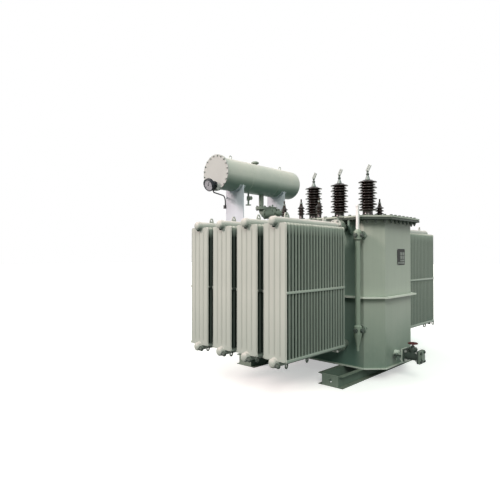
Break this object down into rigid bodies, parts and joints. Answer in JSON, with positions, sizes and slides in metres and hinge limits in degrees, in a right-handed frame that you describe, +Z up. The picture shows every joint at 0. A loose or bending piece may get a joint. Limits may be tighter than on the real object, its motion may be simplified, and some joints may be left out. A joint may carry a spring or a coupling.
{
  "type": "distribution transformer",
  "caption": "Oil-immersed power transformer: corner-cut tank on skids, fluted plate radiators on both sides, porcelain bushings, oil conservator and drain valve.",
  "frame": {"origin": "on the ground under the middle of the tank, at the centre of the anchor-hole pattern", "axes": "+X along the tank to the drain-valve end, +Y along the skids and the radiator packs, +Z up"},
  "size_m": [2.853, 3.651, 2.8384],
  "materials": {
    "tank_paint": "pale grey-green gloss paint",
    "skid_paint": "grey-green paint, dusty",
    "radiator_paint": "pale grey-green gloss paint",
    "fitting_paint": "grey-green paint",
    "conservator_paint": "pale grey-green gloss paint",
    "support_paint": "pale grey paint",
    "gasket_rubber": "black oil-resistant rubber",
    "glazed_porcelain": "brown glazed porcelain",
    "terminal_metal": "dull metal",
    "gauge_case": "dark blue-grey paint",
    "gauge_dial": "grey dial",
    "conduit": "black flexible conduit",
    "valve_iron": "dark painted iron",
    "handwheel_red": "dark red paint",
    "nameplate_metal": "dark anodised plate, blank"
  },
  "bodies": {
    "transformer": {"skid_channels": "skid_paint", "skid_end_plates": "skid_paint", "tank_bottom_plate": "tank_paint", "tank_body": "tank_paint", "tank_band": "tank_paint", "tank_rim_flange": "tank_paint", "cover_gasket": "gasket_rubber", "tank_cover": "tank_paint", "tank_lifting_lugs": "tank_paint", "radiator_front_1": "radiator_paint", "radiator_front_2": "radiator_paint", "radiator_front_3": "radiator_paint", "radiator_front_4": "radiator_paint", "radiator_back_1": "radiator_paint", "radiator_back_2": "radiator_paint", "radiator_back_3": "radiator_paint", "radiator_back_4": "radiator_paint", "radiator_valves_front": "fitting_paint", "radiator_valves_back": "fitting_paint", "hv_flanges": "fitting_paint", "hv_porcelain": "glazed_porcelain", "hv_terminals": "terminal_metal", "lv_flanges": "fitting_paint", "lv_porcelain": "glazed_porcelain", "lv_terminals": "terminal_metal", "conservator_drum": "conservator_paint", "conservator_end_plate": "conservator_paint", "conservator_supports": "support_paint", "conservator_lifting_eyes": "conservator_paint", "filler_cap": "fitting_paint", "oil_gauge": "gauge_case", "oil_gauge_dial": "gauge_dial", "gauge_conduit": "conduit", "conservator_drain": "fitting_paint", "riser_pipe": "fitting_paint", "relay_pipes": "fitting_paint", "gas_relay": "fitting_paint", "oil_filter": "tank_paint", "filter_branches": "fitting_paint", "vent_pipe": "tank_paint", "drain_neck": "fitting_paint", "drain_valve": "valve_iron", "drain_blank_flange": "fitting_paint", "nameplate": "nameplate_metal"},
    "handwheel": {"drain_handwheel": "handwheel_red"}
  },
  "joints": [
    {"name": "handwheel_turn", "type": "hinge", "parent": "transformer", "child": "handwheel", "pos_m": [1.162, -0.09, 0.406], "axis": [0, 0, 1], "range_deg": [0, 1800]}
  ]
}
